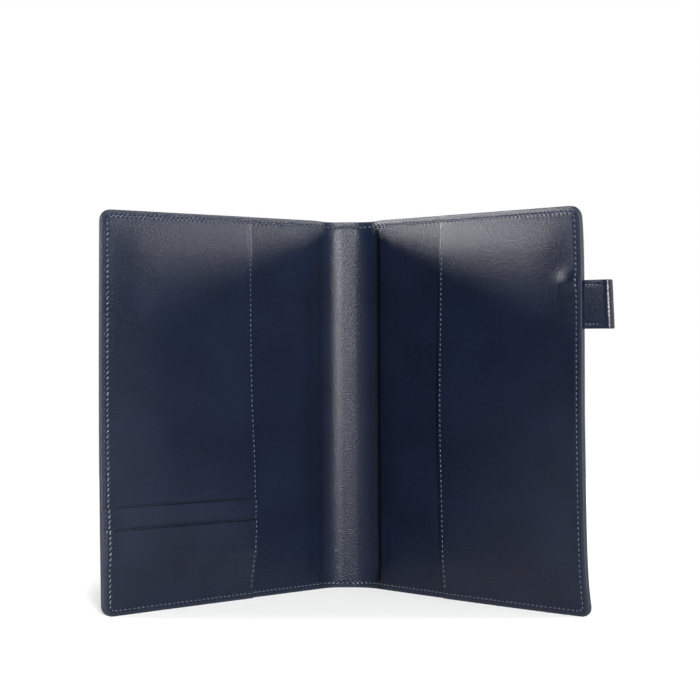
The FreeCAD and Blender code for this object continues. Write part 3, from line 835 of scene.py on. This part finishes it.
def loop_surface(run, z, share):
    """A point of the loop's wall: share 0 on its outer face and 1 on its inner face."""
    run = np.clip(run, 0, LOOP_LONG)
    s = np.interp(run, LOOP_RUN, LOOP_S)
    n = np.interp(run, LOOP_RUN, LOOP_N)
    ahead = np.clip(run + 0.1, 0, LOOP_LONG)
    behind = np.clip(run - 0.1, 0, LOOP_LONG)
    step_s = np.interp(ahead, LOOP_RUN, LOOP_S) - np.interp(behind, LOOP_RUN, LOOP_S)
    step_n = np.interp(ahead, LOOP_RUN, LOOP_N) - np.interp(behind, LOOP_RUN, LOOP_N)
    length = np.hypot(step_s, step_n)
    from_edge = np.minimum(z - LOOP_LOW, LOOP_TOP - z)
    edge = LOOP_EDGE_PRESS * (1 - smooth(from_edge, 0, 0.7))
    pinch = LOOP_GROOVE * hill(from_edge, LOOP_SEAM_INSET, 0.4) + edge
    pinch = pinch * (1 - smooth(s, LOOP_FLAT, LOOP_WIDEN) * 0.7)
    half = (LOOP_WALL / 2 - pinch) * (1 - 2 * share)
    s = s + half * step_n / length
    n = n - half * step_s / length
    middle = (LOOP_LOW + LOOP_TOP) / 2
    s = s - LOOP_SKEW * (z - middle) / (LOOP_TOP - middle) * np.clip(s / LOOP_REACH, 0, 1)
    x, y, _ = plan(np.array(REACH))
    height = n + LOOP_MIDDLE
    across = x + s * cos(OPEN) - height * sin(OPEN)
    back = y - s * sin(OPEN) - height * cos(OPEN)
    return np.stack([across, back, z + 0 * s], axis=-1)


def loop_root_and_tip():
    """Two points on the loop's middle line, in metres: at the cover's edge and beyond the hinge line."""
    x, y, _ = plan(np.array(REACH))
    points = []
    for s in (0.1, 1.6):
        points.append(((x + s * cos(OPEN)) * MM, (y - s * sin(OPEN)) * MM, 0.0))
    return points


def make_loop():
    """The pen loop. Returns the needle holes of its rows of stitches, as runs and heights."""
    across = np.linspace(0, LOOP_LONG, 90)
    along = spaced(LOOP_LOW, LOOP_TOP, LOOP_LINES, LOOP_LINES, 0.9)
    obj = shell("pen_loop_leather", loop_surface, across, along, [loop_leather, edge_paint])
    start, end = loop_root_and_tip()
    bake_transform(obj)
    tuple(start)
    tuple(end)
    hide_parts("pen_loop", "pen_loop_root")
    stitched = np.arange(LOOP_SEAM_START - LOOP_ROOT, LOOP_SEAM_END - LOOP_ROOT, LOOP_PITCH)
    rows = []
    for z in (LOOP_LOW + LOOP_SEAM_INSET, LOOP_TOP - LOOP_SEAM_INSET):
        for run in (stitched, LOOP_LONG - stitched[::-1]):
            rows.append((run, np.full_like(run, z)))
    return rows


def make_loop_seams(rows):
    """The stitches that hold the loop's two walls together."""

    def lay(run, z, height):
        outer = loop_surface(run, z, 0.0)
        inner = loop_surface(run, z, 1.0)
        out = (outer - inner) / np.linalg.norm(outer - inner, axis=-1, keepdims=True)
        return outer + out * height[:, None]

    start, end = loop_root_and_tip()
    for count, (run, z) in enumerate(rows):
        obj = stitch_row(f"pen_loop_seam_{count + 1}", lay, run, z, thread)
        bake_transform(obj)
        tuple(start)
        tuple(end)
        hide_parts("pen_loop_thread")


for side_name, side_sign in SIDES:
    make_outer(side_name, side_sign)
    make_board(side_name, side_sign)
    make_lining(side_name, side_sign)
    make_pocket(side_name, side_sign)
    make_seams(side_name, side_sign)
make_slot("upper", upper_slot_layer, UPPER_SLOT_LOW, UPPER_SLOT_TOP, FREE_LINES)
make_slot("lower", lower_slot_layer, 0.0, LOWER_SLOT_TOP, EDGE_LINES)
make_loop_seams(make_loop())


# The studio

ROOM_LIGHT = 0.02
TABLE_LIGHT = 0.2
TABLE_LIGHT_BEHIND = 0.6
LIGHT_AWAY = 1.2


def make_floor():
    """A white table top that glows a little, so that it runs into the white behind it."""
    near, far, side = -0.6 / MM, 0.5 / MM, 0.45 / MM
    points = [(-side, near, 0), (side, near, 0), (side, far, 0), (-side, far, 0)]
    material, tree, shader = new_material("studio_white")
    spot = add_node(tree, "ShaderNodeTexCoord").outputs["Object"]
    tone = add_node(tree, "ShaderNodeTexNoise", {"Vector": spot, "Scale": 3.0}).outputs[0]
    colour = mix(tree, tone, (0.65, 0.65, 0.65, 1), (0.67, 0.67, 0.67, 1))
    back = add_node(tree, "ShaderNodeSeparateXYZ", {"Vector": spot}).outputs["Y"]
    glow = to_range(tree, back, 0.2, 0.42, TABLE_LIGHT, TABLE_LIGHT_BEHIND)
    join(tree, shader, Base_Color=colour, Roughness=0.9)
    join(tree, shader, Emission_Color=(1, 1, 1, 1), Emission_Strength=glow)
    shader.inputs["Specular IOR Level"].default_value = 0.0
    new_object("studio_floor", points, [[0, 1, 2, 3]], [material])


def softbox(name, azimuth, elevation, size, radiance):
    """A rectangle of soft light that faces the holder. Azimuth 0 is in front, and 90 to the right."""
    light = bpy.data.lights.new(name, "AREA")
    light.shape = "RECTANGLE"
    light.size, light.size_y = size
    light.energy = radiance * pi * size[0] * size[1]
    obj = bpy.data.objects.new(name, light)
    bpy.context.scene.collection.objects.link(obj)
    target = Vector((0, -0.02, HEIGHT * MM / 2))
    turn, tilt = radians(azimuth), radians(elevation)
    way = Vector((sin(turn) * cos(tilt), -cos(turn) * cos(tilt), sin(tilt)))
    obj.location = target + way * LIGHT_AWAY
    obj.rotation_euler = way.to_track_quat("Z", "Y").to_euler()


def make_world():
    """White where the camera looks past the holder, and a dim room for everything else."""
    world = bpy.data.worlds.new("studio")
    bpy.context.scene.world = world
    world.use_nodes = True
    tree = world.node_tree
    looked_at = add_node(tree, "ShaderNodeLightPath").outputs["Is Camera Ray"]
    strength = to_range(tree, looked_at, 0, 1, ROOM_LIGHT, 1.0)
    tree.links.new(strength, tree.nodes["Background"].inputs["Strength"])
    tree.nodes["Background"].inputs["Color"].default_value = (1, 1, 1, 1)


def make_studio():
    """Soft lights on both sides and overhead, and a small key light in front, right of the camera."""
    make_world()
    softbox("key_softbox", 11, 12, (0.22, 0.09), 500.0)
    softbox("overhead_softbox", 22, 62, (0.9, 0.9), 2.9)
    softbox("left_softbox", -99, 12, (0.5, 0.36), 50.0)
    softbox("right_softbox", 93, 12, (0.5, 0.36), 31.0)
    bpy.context.scene.view_settings.view_transform = "Standard"


def make_camera():
    """A long lens in front, a little to the right of the spine and a little above the middle."""
    azimuth, distance, height = radians(2.28), 0.645, 0.0997
    tilt, roll, aim = radians(-0.49), radians(0.21), radians(0.025)
    camera = bpy.data.cameras.new("camera")
    camera.lens = 83.67
    camera.sensor_width = 36
    obj = bpy.data.objects.new("camera", camera)
    bpy.context.scene.collection.objects.link(obj)
    obj.location = (distance * sin(azimuth), -distance * cos(azimuth), height)
    pan = Matrix.Rotation(azimuth - aim, 4, "Z")
    turned = pan @ Matrix.Rotation(pi / 2 + tilt, 4, "X") @ Matrix.Rotation(-roll, 4, "Z")
    obj.rotation_euler = turned.to_euler()
    bpy.context.scene.camera = obj


make_floor()
make_studio()
make_camera()
